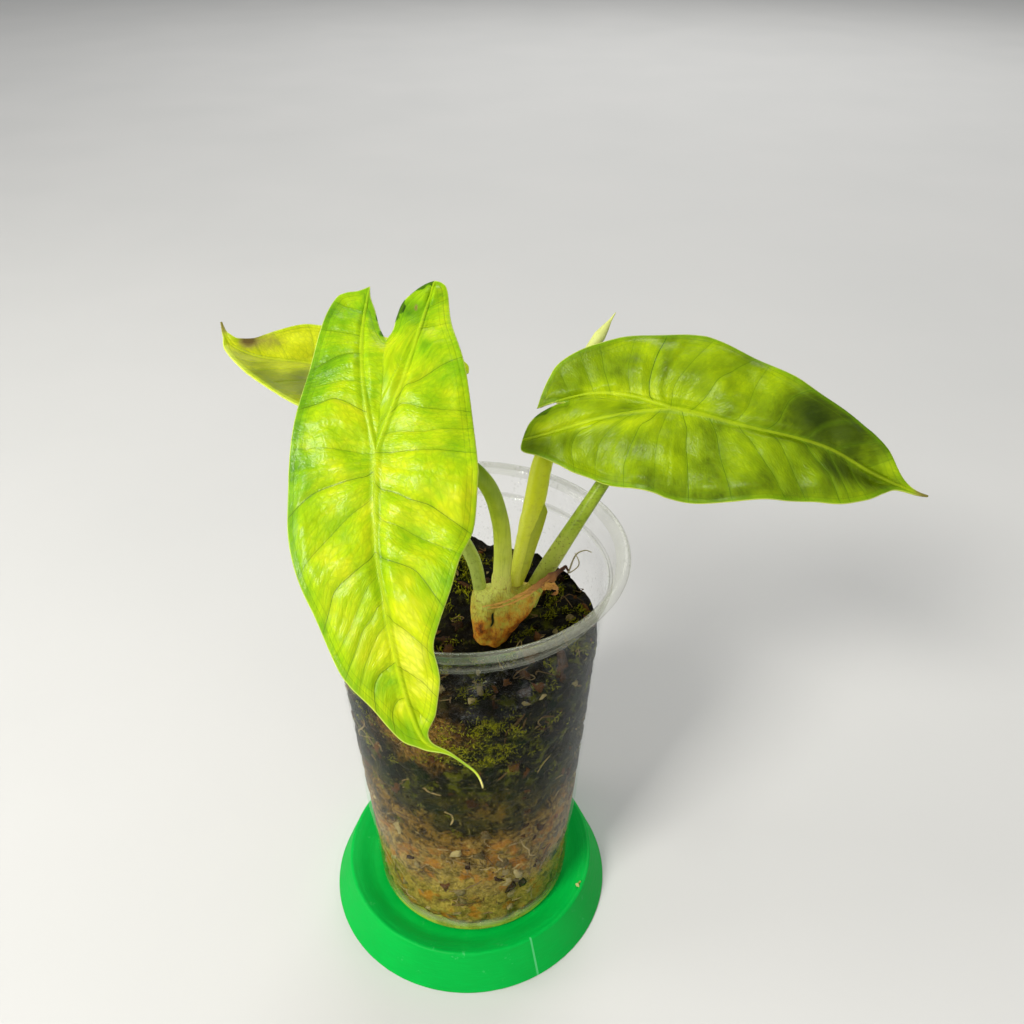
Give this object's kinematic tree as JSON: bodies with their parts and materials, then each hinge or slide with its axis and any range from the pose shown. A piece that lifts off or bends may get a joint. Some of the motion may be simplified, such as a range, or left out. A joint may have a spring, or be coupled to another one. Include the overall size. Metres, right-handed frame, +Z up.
{
  "type": "potted variegated lava alocasia",
  "caption": "Small variegated alocasia with glossy arrow-shaped leaves, growing in a tall clear plastic cup on a round green saucer.",
  "frame": {"origin": "middle of the saucer's flat underside, on the surface it stands on", "axes": "+Z up along the cup; the front leaf hangs towards -Y and the largest leaf spreads towards +X"},
  "size_m": [0.2007, 0.1344, 0.224],
  "materials": {
    "saucer_plastic": "matt, fine printed layer lines",
    "clear_plastic": "clear, thin, glossy, lightly hazed inside",
    "growing_mix": "damp moss, old sphagnum and pumice",
    "corm_skin": "fleshy, orange brown low down, pale green above",
    "stalk_skin": "smooth, waxy, pale green",
    "new_leaf_skin": "smooth, cream",
    "dry_scale_skin": "papery, brown",
    "leaf_lime": "glossy, lime and yellow green, veined and quilted",
    "leaf_yellow": "glossy, yellow and olive, brown tip"
  },
  "bodies": {
    "root": {"saucer": "saucer_plastic", "cup": "clear_plastic", "growing_mix": "growing_mix", "corm": "corm_skin", "stalk_a": "stalk_skin", "stalk_b": "stalk_skin", "stalk_c": "stalk_skin", "sheath": "stalk_skin", "new_leaf": "new_leaf_skin", "dry_scale": "dry_scale_skin", "blade_a": "leaf_lime", "blade_b": "leaf_lime", "blade_c": "leaf_yellow"}
  },
  "joints": []
}
